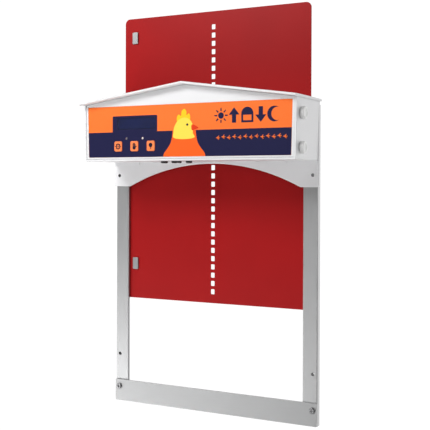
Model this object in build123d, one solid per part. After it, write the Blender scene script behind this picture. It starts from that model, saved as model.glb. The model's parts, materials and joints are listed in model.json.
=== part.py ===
"""Automatic coop door: a wall-mounted frame, a perforated sliding door and a battery-driven lifting unit.

The origin is the centre of the four wall-screw holes on the wall plane.  +X runs to the right as seen
from outside the coop, +Y runs into the wall and +Z runs up.  Everything is in millimetres.
"""
from build123d import *
import os
from math import cos, pi, sin

# ---------------------------------------------------------------- driving dimensions
FRAME_WIDTH = 300.0          # over the two rails
RAIL_FACE = 19.8             # width of a rail seen from the front
RAIL_DEPTH = 8.0
RAIL_LENGTH = 402.0
RAIL_BACK_LIP = 14.5         # the lip behind the door is narrower than the one in front of it
RAIL_EDGE_R = 1.0

WALL_HOLE_SPACING_X = 288.0
WALL_HOLE_SPACING_Z = 249.0
WALL_HOLE_R = 2.2
LOWER_HOLE_HEIGHT = 65.0     # above the foot of the frame

DOOR_WIDTH = 277.4
DOOR_HEIGHT = 387.7
DOOR_THICKNESS = 1.2
DOOR_FRONT_Y = -4.1
DOOR_BOTTOM_HEIGHT = 144.2   # where the part-open door rests
DOOR_CORNER_R = 7.0
DOOR_SLOT_GAP = 0.5          # play of the door in the rail slot, all round

RACK_MODULE = 3.5
RACK_HOLE_WIDTH = 5.7
RACK_HOLE_HEIGHT = 6.7
RACK_HOLE_CORNER_R = 1.0
RACK_HOLES = 33
RACK_FIRST_ABOVE_DOOR_BOTTOM = 15.2

BAR_HEIGHT = 29.2
BAR_THICKNESS = 2.0

PLATE_THICKNESS = 2.6
PLATE_BOTTOM_HEIGHT = 299.0
CASE_WIDTH = 304.0
ARCH_HALF_CHORD = 127.0
ARCH_RISE = 30.5
ARCH_CORNER_R = 4.0
PLATE_EDGE_R = 0.8

CASE_DEPTH = 71.8
CASE_BOTTOM_HEIGHT = 331.9
CASE_BOTTOM_NARROWING = 1.3
CASE_WALL = 2.4
CASE_CORNER_R = 1.6
CASE_FRONT_EDGE_R = 0.7
ROOF_APEX_HEIGHT = 430.2
ROOF_EAVE_HEIGHT = 408.5
ROOF_THICKNESS = 3.0
ROOF_SIDE_OVERHANG = 2.5
ROOF_FRONT_OVERHANG = 9.0

PANEL_THICKNESS = 2.4
PANEL_SETBACK = 0.4
PANEL_FIT = 0.3
PANEL_EDGE_R = 0.5
LABEL_HALF_TOP = 146.1
LABEL_HALF_BOTTOM = 144.6
LABEL_TOP_HEIGHT = 402.9
LABEL_BOTTOM_HEIGHT = 336.9
LABEL_RECESS = 0.8
LABEL_THICKNESS = 0.6
LABEL_CORNER_R = 1.0

BUTTON_WIDTH = 11.8
BUTTON_HEIGHT = 13.0
BUTTON_CORNER_R = 2.2
BUTTON_PROUD = 0.8
BUTTON_TRAVEL = 0.8
BUTTON_XS = {"settings_button": -98.3, "manual_button": -73.5, "light_button": -48.7}
BUTTON_CENTRE_HEIGHT = 351.0

LED_CENTRES = [(-85.7, 361.0), (-61.2, 361.0)]
LED_R = 1.5
DISPLAY_X = (-101.0, -41.5)
DISPLAY_HEIGHTS = (372.3, 388.2)

THUMB_HEAD_R = 7.6
THUMB_HEAD_THICKNESS = 5.6
THUMB_Y = -68.0
THUMB_HEIGHTS = {"upper": 387.2, "lower": 346.2}
THUMB_STEM_R = 2.0
RUNNING_CLEARANCE = 0.05

PINION_TEETH = 10
PINION_WIDTH = 4.6
PINION_RACK_HOLE = 18        # the rack hole, counted from the bottom, that the pinion fills at rest
DRIVE_TEETH = 22
MOTOR_TEETH = 14
GEAR_MODULE = 0.8
SHAFT_R = 2.5
OUTPUT_SHAFT_R = 2.0

# ---------------------------------------------------------------- derived positions
FOOT_Z = -(LOWER_HOLE_HEIGHT + WALL_HOLE_SPACING_Z / 2)


def up(height):
    """The z of a height above the foot of the frame."""
    return FOOT_Z + height


RAIL_FRONT = -RAIL_DEPTH
PLATE_FRONT = RAIL_FRONT - PLATE_THICKNESS
CASE_FRONT = PLATE_FRONT - CASE_DEPTH
ROOF_FRONT = CASE_FRONT - ROOF_FRONT_OVERHANG
PANEL_FRONT = CASE_FRONT + PANEL_SETBACK
PANEL_BACK = PANEL_FRONT + PANEL_THICKNESS
LABEL_BACK = PANEL_FRONT + LABEL_RECESS
LABEL_FRONT = LABEL_BACK - LABEL_THICKNESS

HALF_CASE = CASE_WIDTH / 2
HALF_ROOF = HALF_CASE + ROOF_SIDE_OVERHANG
ROOF_SLOPE = (ROOF_APEX_HEIGHT - ROOF_EAVE_HEIGHT) / HALF_ROOF
DOOR_BACK_Y = DOOR_FRONT_Y + DOOR_THICKNESS
DOOR_MID_Y = DOOR_FRONT_Y + DOOR_THICKNESS / 2
RACK_PITCH = pi * RACK_MODULE
PINION_PITCH_R = RACK_MODULE * PINION_TEETH / 2
SHAFT_Y = DOOR_MID_Y - PINION_PITCH_R
SHAFT_Z = up(DOOR_BOTTOM_HEIGHT + RACK_FIRST_ABOVE_DOOR_BOTTOM) + PINION_RACK_HOLE * RACK_PITCH
DRIVE_PITCH_R = GEAR_MODULE * DRIVE_TEETH / 2
MOTOR_PITCH_R = GEAR_MODULE * MOTOR_TEETH / 2
MOTOR_Y = SHAFT_Y - DRIVE_PITCH_R - MOTOR_PITCH_R
WALL_HOLE_CENTRES = [
    (side * WALL_HOLE_SPACING_X / 2, level * WALL_HOLE_SPACING_Z / 2) for side in (-1, 1) for level in (-1, 1)
]


# ---------------------------------------------------------------- sub-part dimensions
# frame fasteners and base plate
SCREW_R = 2.0
SCREW_LENGTH_IN_RAIL = 5.0
BAR_SCREWS = [(side * 143.8, up(19.8)) for side in (-1, 1)]
RAIL_SCREWS = [(side * 143.0, up(height)) for side in (-1, 1) for height in (352.0, 390.0)]
CASE_SCREWS = [(side * 139.5, height) for side in (-1, 1) for height in (338.6, 403.4)]
CASE_SCREW_R = 1.5
CASE_SCREW_HEAD_R = 3.0
CASE_SCREW_HEAD_DEPTH = 1.6
CASE_POST_R = 4.5
CASE_POST_LENGTH = 14.0
PINION_SLOT_HALF_WIDTH = 4.0
PINION_SLOT_HALF_HEIGHT = 18.6
STEP_THICKNESS = 1.2
STEP_HEIGHT = 328.6
STEPS = [(-152.0, -111.0), (77.0, 108.0)]

# case, panel and fittings
LEDGE_WIDTH = 3.0
LEDGE_FRONT = PANEL_BACK + 0.8
LEDGE_THICKNESS = 2.0
THUMB_PAD_R = 6.0
FLANGE_THICKNESS = 4.0
FLANGE_BACK = THUMB_Y + 8.0
SOCKETS = {
    "power_socket": (-41.6, 4.6),
    "sensor_socket": (-26.4, 3.95),
    "status_lens": (-19.2, 3.05),
    "light_sensor": (-5.2, 4.25),
}
SOCKET_Y = -60.0
COLLAR_LENGTH = 2.7
COLLAR_ROUNDING = 1.6
BARREL_LENGTH = 8.0
INSERT_R = 3.0
BOARD_FRONT = -70.0
BOARD_THICKNESS = 1.6
BOARD_X = (-120.0, -30.0)
BOARD_HEIGHTS = (339.0, 399.0)
BOARD_SCREW_R = 1.25
BOARD_POSTS = [(x, up(height)) for x in (-115.5, -34.5) for height in (343.5, 394.5)]

# keys, switches and display
KEY_FLANGE_FRONT = PANEL_BACK + 0.15
KEY_FLANGE_THICKNESS = 1.2
SWITCH_TOP = BOARD_FRONT - 5.0
LCD_FRONT = PANEL_BACK + 0.3
LCD_THICKNESS = 3.0

# drive unit
PINION_FLANK = [(13.0, 3.0), (17.5, 2.4), (20.2, 1.1)]
PLATE_SHEET = 2.0
LEFT_BEARING_X = -15.0       # the left face of the left bearing plate
MOTOR_PLATE_X = 22.0         # the left face of the motor plate
GEAR_X = (12.5, 18.5)
BUSH_R = 4.0
BUSH_FLANGE_R = 5.2
BUSH_FLANGE = 1.5
INNER_SCREW_R = 1.5
BEARING_FOOT = 14.0
GEARBOX_R = 12.5
GEARBOX_LENGTH = 18.0
MOTOR_R = 12.0
MOTOR_LENGTH = 30.0
BATTERY_X = (77.0, 133.0)
BATTERY_HEIGHTS = (338.0, 402.0)
BATTERY_DEPTH = 19.0
INNER_SCREWS = (
    [(LEFT_BEARING_X - BEARING_FOOT / 2, SHAFT_Z + dz, PLATE_SHEET) for dz in (-7, 7)]
    + [(MOTOR_PLATE_X + PLATE_SHEET + BEARING_FOOT / 2, SHAFT_Z + dz, PLATE_SHEET) for dz in (-11, 11)]
    + [(BATTERY_X[0] - 4, up(height), 2.0) for height in (350.0, 390.0)]
    + [(-122.0, up(height), 1.2) for height in (362.0, 388.0)]
)
GEARBOX_BOSS_R = 3.5
MOTOR_SCREW_OFFSET = 8.5
MOTOR_SCREW_R = 1.25

# battery box
CELL_R = 7.15
CELL_LENGTH = 49.5
CELL_COUNT = 4
BOX_WALL = 1.5
POWER_BORE_R = 2.75

# door magnets
MAGNETS = {"upper_magnet": (-122.05, 504.7), "lower_magnet": (-120.6, 192.3)}
MAGNET_WIDTH = 8.5
MAGNET_HEIGHT = 16.0
MAGNET_THICKNESS = 1.8


# ---------------------------------------------------------------- shape helpers
def block(x0, x1, y0, y1, z0, z1):
    """A box between two corners."""
    centre = Pos((x0 + x1) / 2, (y0 + y1) / 2, (z0 + z1) / 2)
    return centre * Box(abs(x1 - x0), abs(y1 - y0), abs(z1 - z0))


def rod_x(x0, x1, y, z, r):
    """A cylinder along X."""
    return Pos((x0 + x1) / 2, y, z) * Rot(0, 90, 0) * Cylinder(r, abs(x1 - x0))


def rod_y(y0, y1, x, z, r):
    """A cylinder along Y."""
    return Pos(x, (y0 + y1) / 2, z) * Rot(90, 0, 0) * Cylinder(r, abs(y1 - y0))


def rod_z(z0, z1, x, y, r):
    """A cylinder along Z."""
    return Pos(x, y, (z0 + z1) / 2) * Cylinder(r, abs(z1 - z0))


def slab(points, y0, y1):
    """An outline of (x, z) points, extruded from y0 to y1."""
    outline = Polyline(*[(x, y0, z) for x, z in points], close=True)
    return extrude(make_face(outline), amount=y1 - y0, dir=(0, 1, 0))


def pad(x0, x1, y0, y1, z0, z1, r):
    """A block whose corners are rounded as seen from the front."""
    face = RectangleRounded(x1 - x0, z1 - z0, r)
    solid = extrude(face, amount=abs(y1 - y0))
    return Pos((x0 + x1) / 2, max(y0, y1), (z0 + z1) / 2) * Rot(90, 0, 0) * solid


def wheel(teeth, flank, x0, x1, y, z, tooth_angle):
    """A toothed wheel on an X axis: flank lists (radius, half tooth width) from root to tip."""
    profile = [(r, -half) for r, half in flank] + [(r, half) for r, half in reversed(flank)]
    points = []
    for tooth in range(teeth):
        angle = tooth_angle + 2 * pi * tooth / teeth
        for r, half in profile:
            points.append((x0, y + r * cos(angle) - half * sin(angle), z + r * sin(angle) + half * cos(angle)))
    return extrude(make_face(Polyline(*points, close=True)), amount=x1 - x0, dir=(1, 0, 0))


def pan_screw(x, z, head_y, shank_r, head_r, length):
    """A pan-head screw driven in +Y, with a cross recess; head_y is the seat under its head."""
    head_height = head_r * 0.6
    head = rod_y(head_y - head_height, head_y, x, z, head_r)
    rim = head.edges().filter_by(GeomType.CIRCLE).sort_by(Axis.Y)[0]
    head = fillet(rim, head_height * 0.55)
    recess_depth = head_height * 0.6
    recess_half = head_r * 0.5
    top = head_y - head_height
    for half_x, half_z in ((recess_half, head_r * 0.12), (head_r * 0.12, recess_half)):
        head -= block(x - half_x, x + half_x, top, top + recess_depth, z - half_z, z + half_z)
    return head + rod_y(head_y, head_y + length, x, z, shank_r)


def group(solids):
    """Several separate solids kept in one node."""
    return Compound(children=[solid for shape in solids for solid in shape.solids()])


def roof_line(x, below=0.0):
    """The z of the roof's top face at x, or a distance below it."""
    return up(ROOF_APEX_HEIGHT - below) - ROOF_SLOPE * abs(x)


# ---------------------------------------------------------------- frame
def rail(side):
    """An aluminium side rail with a slot for the door's edge; side is -1 on the left and 1 on the right."""
    outer = FRAME_WIDTH / 2
    inner = outer - RAIL_FACE
    slot_floor = DOOR_WIDTH / 2 + DOOR_SLOT_GAP
    slot_front = DOOR_FRONT_Y - DOOR_SLOT_GAP
    slot_back = DOOR_BACK_Y + DOOR_SLOT_GAP
    top = up(RAIL_LENGTH)
    body = block(inner, outer, RAIL_FRONT, 0, FOOT_Z, top)
    body -= block(inner - 1, slot_floor, slot_front, slot_back, FOOT_Z - 1, top + 1)
    body -= block(inner - 1, outer - RAIL_BACK_LIP, slot_front, 1, FOOT_Z - 1, top + 1)
    for x, z in WALL_HOLE_CENTRES:
        if x > 0:
            body -= rod_y(RAIL_FRONT - 1, 1, x, z, WALL_HOLE_R)
    for x, z in BAR_SCREWS + RAIL_SCREWS:
        if x > 0:
            body -= rod_y(RAIL_FRONT - 1, RAIL_FRONT + SCREW_LENGTH_IN_RAIL, x, z, SCREW_R)
    long_edges = body.edges().filter_by(Axis.Z).group_by(Axis.Y)[0]
    body = fillet(long_edges, RAIL_EDGE_R)
    return body if side > 0 else mirror(body, about=Plane.YZ)


def bottom_bar():
    """The flat aluminium strip across the feet of the rails."""
    half = FRAME_WIDTH / 2
    bar = pad(-half, half, RAIL_FRONT - BAR_THICKNESS, RAIL_FRONT, FOOT_Z, up(BAR_HEIGHT), 1.0)
    for x, z in BAR_SCREWS:
        bar -= rod_y(RAIL_FRONT - BAR_THICKNESS - 1, RAIL_FRONT + 1, x, z, SCREW_R)
    return bar


def bar_screws():
    """The two pan-head screws that hold the bottom bar."""
    seat = RAIL_FRONT - BAR_THICKNESS
    length = BAR_THICKNESS + SCREW_LENGTH_IN_RAIL
    return group(pan_screw(x, z, seat, SCREW_R, 3.9, length) for x, z in BAR_SCREWS)


def rail_screws():
    """The four screws inside the case that hold the base plate to the rails."""
    length = PLATE_THICKNESS + SCREW_LENGTH_IN_RAIL
    return group(pan_screw(x, z, PLATE_FRONT, SCREW_R, 3.6, length) for x, z in RAIL_SCREWS)


def base_plate():
    """The moulded plate that ties the rails together and backs the case, arched over the doorway."""
    bottom = up(PLATE_BOTTOM_HEIGHT)
    roof_underside = [(x, roof_line(x, ROOF_THICKNESS)) for x in (HALF_CASE, 0, -HALF_CASE)]
    plate = slab([(-HALF_CASE, bottom), (HALF_CASE, bottom)] + roof_underside, PLATE_FRONT, RAIL_FRONT)
    arch_r = (ARCH_HALF_CHORD ** 2 + ARCH_RISE ** 2) / (2 * ARCH_RISE)
    arch = rod_y(PLATE_FRONT - 1, RAIL_FRONT + 1, 0, bottom + ARCH_RISE - arch_r, arch_r)
    plate -= arch
    arch_ends = plate.edges().filter_by(Axis.Y).filter_by(
        lambda edge: abs(abs(edge.center().X) - ARCH_HALF_CHORD) < 0.1 and abs(edge.center().Z - bottom) < 0.1)
    plate = fillet(arch_ends, ARCH_CORNER_R)
    plate = fillet(plate.faces().sort_by(Axis.Y)[0].outer_wire().edges(), PLATE_EDGE_R)
    plate -= block(-PINION_SLOT_HALF_WIDTH, PINION_SLOT_HALF_WIDTH, PLATE_FRONT - 1, RAIL_FRONT + 1,
                   SHAFT_Z - PINION_SLOT_HALF_HEIGHT, SHAFT_Z + PINION_SLOT_HALF_HEIGHT)
    for x0, x1 in STEPS:
        plate += block(x0, x1, PLATE_FRONT - STEP_THICKNESS, PLATE_FRONT, up(STEP_HEIGHT), up(CASE_BOTTOM_HEIGHT))
    for x, z in WALL_HOLE_CENTRES:
        plate -= rod_y(PLATE_FRONT - 1, RAIL_FRONT + 1, x, z, WALL_HOLE_R)
    for x, z in RAIL_SCREWS:
        plate -= rod_y(PLATE_FRONT - 1, RAIL_FRONT + 1, x, z, SCREW_R)
    for x, height in CASE_SCREWS:
        plate -= case_screw(x, up(height))
    for x, z, _ in INNER_SCREWS:
        plate -= rod_y(PLATE_FRONT - 1, RAIL_FRONT + 1, x, z, INNER_SCREW_R)
    return plate


def case_screw(x, z):
    """A countersunk screw driven in -Y, from behind the base plate into a post of the case."""
    cone = Pos(x, RAIL_FRONT - CASE_SCREW_HEAD_DEPTH / 2, z) * Rot(-90, 0, 0) * Cone(
        CASE_SCREW_R, CASE_SCREW_HEAD_R, CASE_SCREW_HEAD_DEPTH)
    tip = PLATE_FRONT - CASE_POST_LENGTH + 2
    return cone + rod_y(tip, RAIL_FRONT - CASE_SCREW_HEAD_DEPTH, x, z, CASE_SCREW_R)


def case_screws():
    """The four countersunk screws that hold the case on the base plate."""
    return group(case_screw(x, up(height)) for x, height in CASE_SCREWS)


# ---------------------------------------------------------------- case


def wall_half_width(height):
    """The case's half width at a height: its side walls lean in a little towards the bottom."""
    rise = ROOF_EAVE_HEIGHT - CASE_BOTTOM_HEIGHT
    return HALF_CASE - CASE_BOTTOM_NARROWING * (ROOF_EAVE_HEIGHT - height) / rise


def house(inset, floor_inset, roof_inset):
    """The case's front outline, drawn in from its outer faces by wall, floor and roof distances."""
    floor = CASE_BOTTOM_HEIGHT + floor_inset
    low = wall_half_width(floor) - inset
    high = HALF_CASE - inset
    roof = [(x, roof_line(x, roof_inset)) for x in (high, 0, -high)]
    return [(-low, up(floor)), (low, up(floor))] + roof


def case_shell():
    """The moulded case: a floor, two walls and a gable roof that overhangs at the front and the sides."""
    shell = slab(house(0, 0, 0.5), CASE_FRONT, PLATE_FRONT)
    shell = fillet(shell.edges().filter_by(Axis.Y).group_by(Axis.Z)[0], CASE_CORNER_R)
    shell = fillet(shell.faces().sort_by(Axis.Y)[0].outer_wire().edges(), CASE_FRONT_EDGE_R)
    roof = slab(
        [(-HALF_ROOF, roof_line(HALF_ROOF)), (0, roof_line(0)), (HALF_ROOF, roof_line(HALF_ROOF)),
         (HALF_ROOF, roof_line(HALF_ROOF, ROOF_THICKNESS)), (0, roof_line(0, ROOF_THICKNESS)),
         (-HALF_ROOF, roof_line(HALF_ROOF, ROOF_THICKNESS))],
        ROOF_FRONT, RAIL_FRONT)
    roof = fillet(roof.edges().group_by(Axis.Y)[0], 1.2)
    shell += roof
    shell -= slab(house(CASE_WALL, CASE_WALL, ROOF_THICKNESS), CASE_FRONT - 20, PLATE_FRONT + 1) & block(
        -HALF_CASE, HALF_CASE, CASE_FRONT - 1, PLATE_FRONT + 1, up(CASE_BOTTOM_HEIGHT), up(ROOF_APEX_HEIGHT))
    ledge = slab(house(CASE_WALL - 0.2, CASE_WALL - 0.2, ROOF_THICKNESS - 0.2), LEDGE_FRONT,
                 LEDGE_FRONT + LEDGE_THICKNESS)
    inset = CASE_WALL + LEDGE_WIDTH
    ledge -= slab(house(inset, inset, ROOF_THICKNESS + LEDGE_WIDTH), LEDGE_FRONT - 1,
                  LEDGE_FRONT + LEDGE_THICKNESS + 1)
    shell += ledge
    for x, height in CASE_SCREWS:
        shell += rod_y(PLATE_FRONT - CASE_POST_LENGTH, PLATE_FRONT, x, up(height), CASE_POST_R)
    for height in THUMB_HEIGHTS.values():
        wall = wall_half_width(height)
        for side in (-1, 1):
            inner = side * (wall - CASE_WALL - LEDGE_WIDTH - 0.3)
            shell += rod_x(inner, side * (wall - 1), THUMB_Y, up(height), THUMB_PAD_R)
    for x, height in CASE_SCREWS:
        shell -= case_screw(x, up(height))
    for height in THUMB_HEIGHTS.values():
        shell -= rod_x(-HALF_ROOF, HALF_ROOF, THUMB_Y, up(height), THUMB_STEM_R + 0.4)
    for x, r in SOCKETS.values():
        shell -= rod_z(up(CASE_BOTTOM_HEIGHT - 2), up(CASE_BOTTOM_HEIGHT + 6), x, SOCKET_Y, r - 0.8)
    return shell


def front_panel():
    """The removable front panel, with the label's recess, side flanges and posts for the boards."""
    fit = CASE_WALL + PANEL_FIT
    panel = slab(house(fit, fit, ROOF_THICKNESS + PANEL_FIT), PANEL_FRONT, PANEL_BACK)
    panel = fillet(panel.faces().sort_by(Axis.Y)[0].outer_wire().edges(), PANEL_EDGE_R)
    panel -= label_outline(PANEL_FRONT - 1, LABEL_BACK, 0.2)
    inner_inset = CASE_WALL + LEDGE_WIDTH + 0.5
    for side in (-1, 1):
        outer = side * (wall_half_width(THUMB_HEIGHTS["lower"]) - inner_inset)
        panel += block(outer, outer - side * FLANGE_THICKNESS, PANEL_BACK, FLANGE_BACK, up(338.5), up(396.0))
        for height in THUMB_HEIGHTS.values():
            panel += rod_x(outer - side * (FLANGE_THICKNESS + 3), outer - side, THUMB_Y, up(height), 5.0)
    for height in THUMB_HEIGHTS.values():
        panel -= rod_x(-HALF_CASE, HALF_CASE, THUMB_Y, up(height), INSERT_R)
    for x, z in BOARD_POSTS:
        panel += rod_y(PANEL_BACK, BOARD_FRONT, x, z, 3.0)
        panel -= rod_y(PANEL_BACK, BOARD_FRONT, x, z, BOARD_SCREW_R)
    panel -= label_openings(PANEL_FRONT - 1, PANEL_BACK + 1)
    return panel


def label_outline(y0, y1, grow=0.0):
    """The label's outline, a little wider at the top than at the bottom."""
    low, high = up(LABEL_BOTTOM_HEIGHT) - grow, up(LABEL_TOP_HEIGHT) + grow
    corners = [(-LABEL_HALF_BOTTOM - grow, low), (LABEL_HALF_BOTTOM + grow, low),
               (LABEL_HALF_TOP + grow, high), (-LABEL_HALF_TOP - grow, high)]
    solid = slab(corners, y0, y1)
    return fillet(solid.edges().filter_by(Axis.Y), LABEL_CORNER_R)


def label_openings(y0, y1):
    """What the display, the lights and the buttons need cut through the panel and the label."""
    gap = 0.3
    cuts = pad(DISPLAY_X[0], DISPLAY_X[1], y0, y1, up(DISPLAY_HEIGHTS[0]), up(DISPLAY_HEIGHTS[1]), 1.0)
    for x in BUTTON_XS.values():
        half_x, half_z = BUTTON_WIDTH / 2 + gap, BUTTON_HEIGHT / 2 + gap
        z = up(BUTTON_CENTRE_HEIGHT)
        cuts += pad(x - half_x, x + half_x, y0, y1, z - half_z, z + half_z, BUTTON_CORNER_R + gap)
    for x, height in LED_CENTRES:
        cuts += rod_y(y0, y1, x, up(height), LED_R)
    return cuts


def panel_label():
    """The printed overlay on the front panel."""
    return label_outline(LABEL_FRONT, LABEL_BACK) - label_openings(LABEL_FRONT - 1, LABEL_BACK + 1)


def panel_gasket():
    """The flat foam seal between the panel and the case's ledge."""
    outer = CASE_WALL + PANEL_FIT
    ring = slab(house(outer, outer, ROOF_THICKNESS + PANEL_FIT), PANEL_BACK, LEDGE_FRONT)
    inner = CASE_WALL + LEDGE_WIDTH - 0.1
    ring -= slab(house(inner, inner, ROOF_THICKNESS + LEDGE_WIDTH - 0.1), PANEL_BACK - 1, LEDGE_FRONT + 1)
    return ring


def thumb_screw(side, height):
    """A moulded thumb screw on one side of the case; its stem runs in a threaded insert."""
    wall = wall_half_width(height)
    z = up(height)
    seat = wall + 0.3
    head = rod_x(seat, seat + THUMB_HEAD_THICKNESS, THUMB_Y, z, THUMB_HEAD_R)
    head = fillet(head.edges().filter_by(GeomType.CIRCLE).sort_by(Axis.X)[-1], 1.6)
    head = fillet(head.edges().filter_by(GeomType.CIRCLE).sort_by(Axis.X)[0], 0.6)
    insert_inner = wall_half_width(THUMB_HEIGHTS["lower"]) - (CASE_WALL + LEDGE_WIDTH + 0.5) - 6.5
    screw = head + rod_x(insert_inner, seat, THUMB_Y, z, THUMB_STEM_R)
    return screw if side > 0 else mirror(screw, about=Plane.YZ)


def threaded_inserts():
    """The four brass inserts in the panel's flanges that take the thumb screws."""
    outer = wall_half_width(THUMB_HEIGHTS["lower"]) - (CASE_WALL + LEDGE_WIDTH + 0.5)
    inserts = []
    for side in (-1, 1):
        for height in THUMB_HEIGHTS.values():
            sleeve = rod_x(side * outer, side * (outer - 7), THUMB_Y, up(height), INSERT_R)
            sleeve -= rod_x(side * (outer + 1), side * (outer - 8), THUMB_Y, up(height),
                            THUMB_STEM_R + RUNNING_CLEARANCE)
            inserts.append(sleeve)
    return group(inserts)


# ---------------------------------------------------------------- panel electronics


def button(x):
    """A push key: a rounded cap through the panel, a flange behind it and a stem to its switch."""
    z = up(BUTTON_CENTRE_HEIGHT)
    front = LABEL_FRONT - BUTTON_PROUD
    cap = pad(x - BUTTON_WIDTH / 2, x + BUTTON_WIDTH / 2, front, KEY_FLANGE_FRONT,
              z - BUTTON_HEIGHT / 2, z + BUTTON_HEIGHT / 2, BUTTON_CORNER_R)
    cap = fillet(cap.edges().group_by(Axis.Y)[0], 0.5)
    flange_back = KEY_FLANGE_FRONT + KEY_FLANGE_THICKNESS
    margin = 1.1
    flange = pad(x - BUTTON_WIDTH / 2 - margin, x + BUTTON_WIDTH / 2 + margin, KEY_FLANGE_FRONT, flange_back,
                 z - BUTTON_HEIGHT / 2 - margin, z + BUTTON_HEIGHT / 2 + margin, BUTTON_CORNER_R + margin)
    stem = rod_y(flange_back, SWITCH_TOP - BUTTON_TRAVEL - 0.1, x, z, 2.0)
    return cap + flange + stem


def tact_switches():
    """The three switches on the control board, one behind each button."""
    z = up(BUTTON_CENTRE_HEIGHT)
    switches = []
    for x in BUTTON_XS.values():
        body = block(x - 3, x + 3, BOARD_FRONT - 3.5, BOARD_FRONT, z - 3, z + 3)
        switches.append(body + rod_y(SWITCH_TOP, BOARD_FRONT - 3.5, x, z, 1.75))
    return group(switches)


def display_window():
    """The tinted window of the display, flush with the label."""
    return pad(DISPLAY_X[0], DISPLAY_X[1], LABEL_FRONT, PANEL_BACK, up(DISPLAY_HEIGHTS[0]),
               up(DISPLAY_HEIGHTS[1]), 1.0)


def lcd_module():
    """The display's glass on its own small carrier, on four pins above the control board."""
    x0, x1 = DISPLAY_X[0] - 2.5, DISPLAY_X[1] + 2.5
    z0, z1 = up(DISPLAY_HEIGHTS[0] - 1.5), up(DISPLAY_HEIGHTS[1] + 1.5)
    carrier_back = LCD_FRONT + LCD_THICKNESS + BOARD_THICKNESS
    module = block(x0 + 1, x1 - 1, LCD_FRONT, LCD_FRONT + LCD_THICKNESS, z0 + 1, z1 - 1)
    module += block(x0, x1, LCD_FRONT + LCD_THICKNESS, carrier_back, z0, z1)
    for x in (x0 + 2, x1 - 2):
        for z in (z0 + 2, z1 - 2):
            module += rod_y(carrier_back, BOARD_FRONT, x, z, 0.6)
    return module


def status_leds():
    """Two indicator lights in the panel, standing on the control board."""
    leds = []
    for x, height in LED_CENTRES:
        lens = rod_y(LABEL_FRONT - 0.3, BOARD_FRONT, x, up(height), LED_R)
        leds.append(fillet(lens.edges().filter_by(GeomType.CIRCLE).sort_by(Axis.Y)[0], 0.7))
    return group(leds)


def control_board():
    """The control board on its four posts behind the panel."""
    board = block(BOARD_X[0], BOARD_X[1], BOARD_FRONT, BOARD_FRONT + BOARD_THICKNESS, up(BOARD_HEIGHTS[0]),
                  up(BOARD_HEIGHTS[1]))
    for x, z in BOARD_POSTS:
        board -= rod_y(BOARD_FRONT - 1, BOARD_FRONT + BOARD_THICKNESS + 1, x, z, BOARD_SCREW_R)
    return board


def board_components():
    """Chips, a relay, capacitors and plugs on the back of the control board."""
    back = BOARD_FRONT + BOARD_THICKNESS
    parts = [
        block(-90, -78, back, back + 2.0, up(362), up(374)),
        block(-68, -60, back, back + 1.6, up(366), up(371)),
        block(-56, -42, back, back + 12.0, up(380), up(392)),
        block(-108, -96, back, back + 7.0, up(344), up(351)),
        block(-88, -76, back, back + 7.0, up(344), up(351)),
        block(-60, -48, back, back + 7.0, up(344), up(351)),
        rod_y(back, back + 11.0, -104, up(372), 4.0),
        rod_y(back, back + 11.0, -104, up(384), 4.0),
    ]
    return group(parts)


def board_screws():
    """The four screws that hold the control board; their heads are on its back."""
    back = BOARD_FRONT + BOARD_THICKNESS
    screws = []
    for x, z in BOARD_POSTS:
        head = rod_y(back, back + 1.6, x, z, 2.4)
        screws.append(head + rod_y(BOARD_FRONT - 6, back, x, z, BOARD_SCREW_R))
    return group(screws)


# ---------------------------------------------------------------- drive unit


def gear_flank(pitch_r):
    """Flank of a small gear's tooth, thinned for backlash."""
    m = GEAR_MODULE
    return [(pitch_r - 1.15 * m, 0.92 * m), (pitch_r, 0.66 * m), (pitch_r + 0.9 * m, 0.32 * m)]


def drive_shaft():
    """The steel cross shaft that carries the pinion and the driven gear."""
    return rod_x(LEFT_BEARING_X - 2.5, MOTOR_PLATE_X + PLATE_SHEET, SHAFT_Y, SHAFT_Z, SHAFT_R)


def door_pinion():
    """The ten-tooth pinion whose teeth enter the door's row of holes."""
    half = PINION_WIDTH / 2
    pinion = wheel(PINION_TEETH, PINION_FLANK, -half, half, SHAFT_Y, SHAFT_Z, 0)
    pinion += rod_x(-8, 8, SHAFT_Y, SHAFT_Z, 7.0)
    return pinion - rod_x(-9, 9, SHAFT_Y, SHAFT_Z, SHAFT_R)


def drive_gear():
    """The driven gear on the cross shaft; one tooth points straight at the motor gear."""
    gear = wheel(DRIVE_TEETH, gear_flank(DRIVE_PITCH_R), *GEAR_X, SHAFT_Y, SHAFT_Z, pi)
    gear += rod_x(GEAR_X[0] - 3, GEAR_X[0], SHAFT_Y, SHAFT_Z, 5.0)
    return gear - rod_x(GEAR_X[0] - 4, GEAR_X[1] + 1, SHAFT_Y, SHAFT_Z, SHAFT_R)


def motor_gear():
    """The gear on the motor's output shaft; a gap between its teeth faces the driven gear."""
    gear = wheel(MOTOR_TEETH, gear_flank(MOTOR_PITCH_R), *GEAR_X, MOTOR_Y, SHAFT_Z, pi / MOTOR_TEETH)
    return gear - rod_x(GEAR_X[0] - 1, GEAR_X[1] + 1, MOTOR_Y, SHAFT_Z, OUTPUT_SHAFT_R)


def output_shaft():
    """The gearbox's output shaft."""
    return rod_x(GEAR_X[0] - 1, MOTOR_PLATE_X + PLATE_SHEET + 6, MOTOR_Y, SHAFT_Z, OUTPUT_SHAFT_R)


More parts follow.
